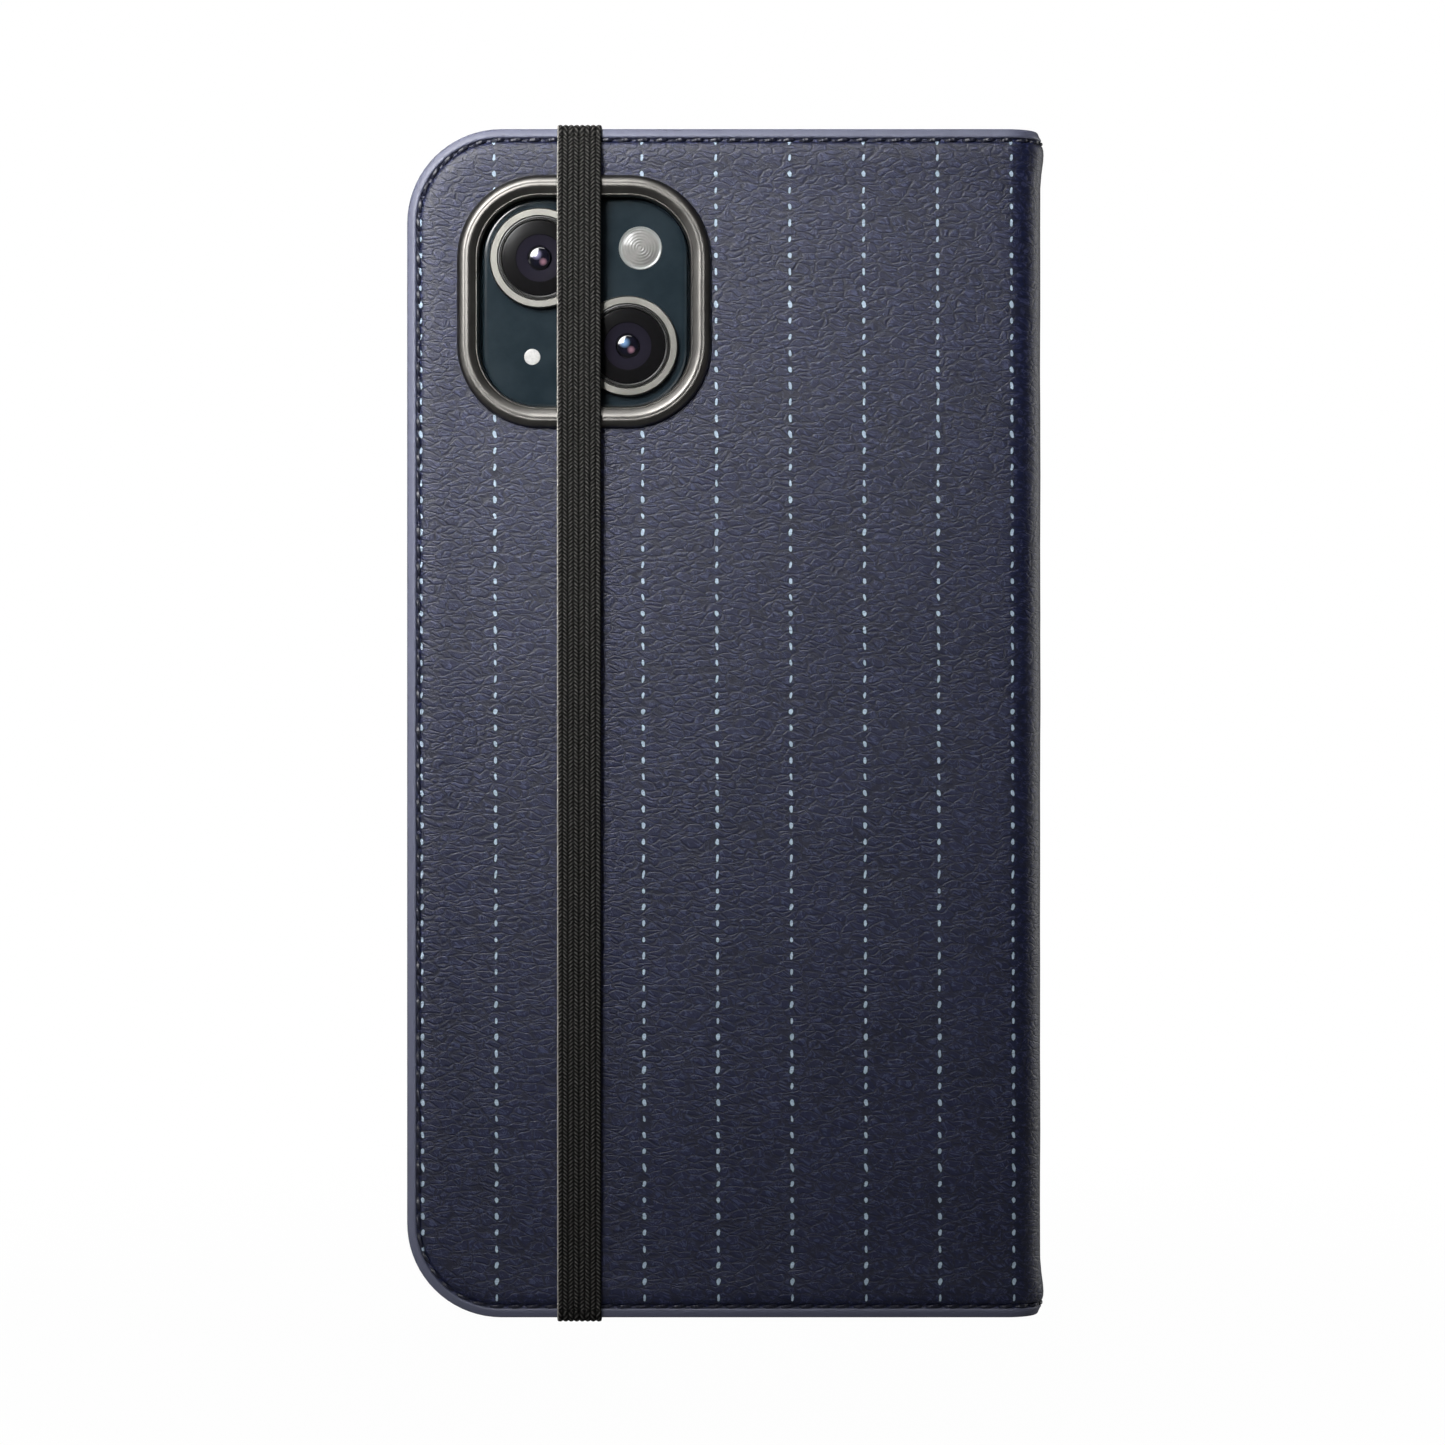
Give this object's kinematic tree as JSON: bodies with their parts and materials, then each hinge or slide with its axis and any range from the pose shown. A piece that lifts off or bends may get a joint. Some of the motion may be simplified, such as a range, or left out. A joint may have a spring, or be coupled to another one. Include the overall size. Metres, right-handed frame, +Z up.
{
  "type": "phone wallet case",
  "caption": "Upright leather folio wallet case for a large phone, shut by a braided elastic strap, with a camera window, gel tray, card and cash pockets",
  "frame": {"origin": "under the middle of the bounding box, on the floor that the case stands on", "axes": "+Z up the height of the case, +Y from the camera side to the front cover, +X towards the spine"},
  "size_m": [0.091, 0.0203, 0.1714],
  "materials": {
    "leather": "pebbled navy leather with a pale printed dash pattern",
    "board": "matte",
    "lining": "soft microfibre",
    "thread": "waxed thread",
    "elastic": "ribbed braid",
    "bezel_metal": "dark gunmetal, glossy",
    "adhesive": "tacky film",
    "gel": "smoky satin gel",
    "phone_metal": "satin",
    "phone_glass": "polished glass over dark teal",
    "screen": "polished",
    "lens": "coated glass, opaque as built",
    "flash": "frosted"
  },
  "bodies": {
    "back_case": {"back_cover_skin": "leather", "back_cover_board": "board", "back_cover_lining": "lining", "back_seam_thread": "thread", "camera_bezel": "bezel_metal", "shell_adhesive": "adhesive", "gel_shell": "gel", "phone_back_glass": "phone_glass", "phone_frame": "phone_metal", "phone_screen": "screen", "camera_island": "phone_glass", "lens_rings": "phone_metal", "lens_glasses": "lens", "flash_window": "flash", "microphone_port": "flash"},
    "spine": {"spine_skin": "leather", "spine_stiffener": "board", "spine_lining": "lining", "spine_seam_threads": "thread"},
    "front_cover": {"front_cover_skin": "leather", "front_cover_board": "board", "front_cover_lining": "lining", "front_seam_thread": "thread", "cash_pocket": "lining", "card_pocket_1": "lining", "card_pocket_2": "lining", "card_pocket_3": "lining", "pocket_thread": "thread", "strap_front_span": "elastic", "strap_tacks": "thread"},
    "strap_arms": {"strap_bottom_arm": "elastic", "strap_top_arm": "elastic"},
    "strap_span": {"strap_back_span": "elastic"},
    "power_button": {"power_button_pad": "gel"},
    "action_button": {"action_button_pad": "gel"},
    "volume_up_button": {"volume_up_button_pad": "gel"},
    "volume_down_button": {"volume_down_button_pad": "gel"}
  },
  "joints": [
    {"name": "spine_fold", "type": "hinge", "parent": "back_case", "child": "spine", "pos_m": [0.04404, -0.00646, 0], "axis": [0, 0, -1], "range_deg": [0, 90]},
    {"name": "cover_fold", "type": "hinge", "parent": "spine", "child": "front_cover", "pos_m": [0.04404, 0.00776, 0], "axis": [0, 0, -1], "range_deg": [0, 90]},
    {"name": "strap_off", "type": "hinge", "parent": "front_cover", "child": "strap_arms", "pos_m": [-0.0208, 0.00817, 0], "axis": [0, 0, -1], "range_deg": [0, 180], "deforming": ["strap_bottom_arm", "strap_top_arm"]},
    {"name": "strap_slack", "type": "slide", "parent": "strap_arms", "child": "strap_span", "axis": [0, 1, 0], "range_m": [0, 0.0141], "deforming": ["strap_back_span"]},
    {"name": "power_press", "type": "slide", "parent": "back_case", "child": "power_button", "axis": [1, 0, 0], "range_m": [0, 0.0003], "stiffness_N_per_m": 600},
    {"name": "action_press", "type": "slide", "parent": "back_case", "child": "action_button", "axis": [-1, 0, 0], "range_m": [0, 0.0003], "stiffness_N_per_m": 600},
    {"name": "volume_up_press", "type": "slide", "parent": "back_case", "child": "volume_up_button", "axis": [-1, 0, 0], "range_m": [0, 0.0003], "stiffness_N_per_m": 600},
    {"name": "volume_down_press", "type": "slide", "parent": "back_case", "child": "volume_down_button", "axis": [-1, 0, 0], "range_m": [0, 0.0003], "stiffness_N_per_m": 600}
  ],
  "couplings": [
    {"joint": "spine_fold", "follows": "cover_fold", "ratio": 1},
    {"joint": "strap_off", "follows": "cover_fold", "ratio": 2},
    {"joint": "strap_slack", "follows": "cover_fold", "m_per_rad": 0.008976}
  ]
}
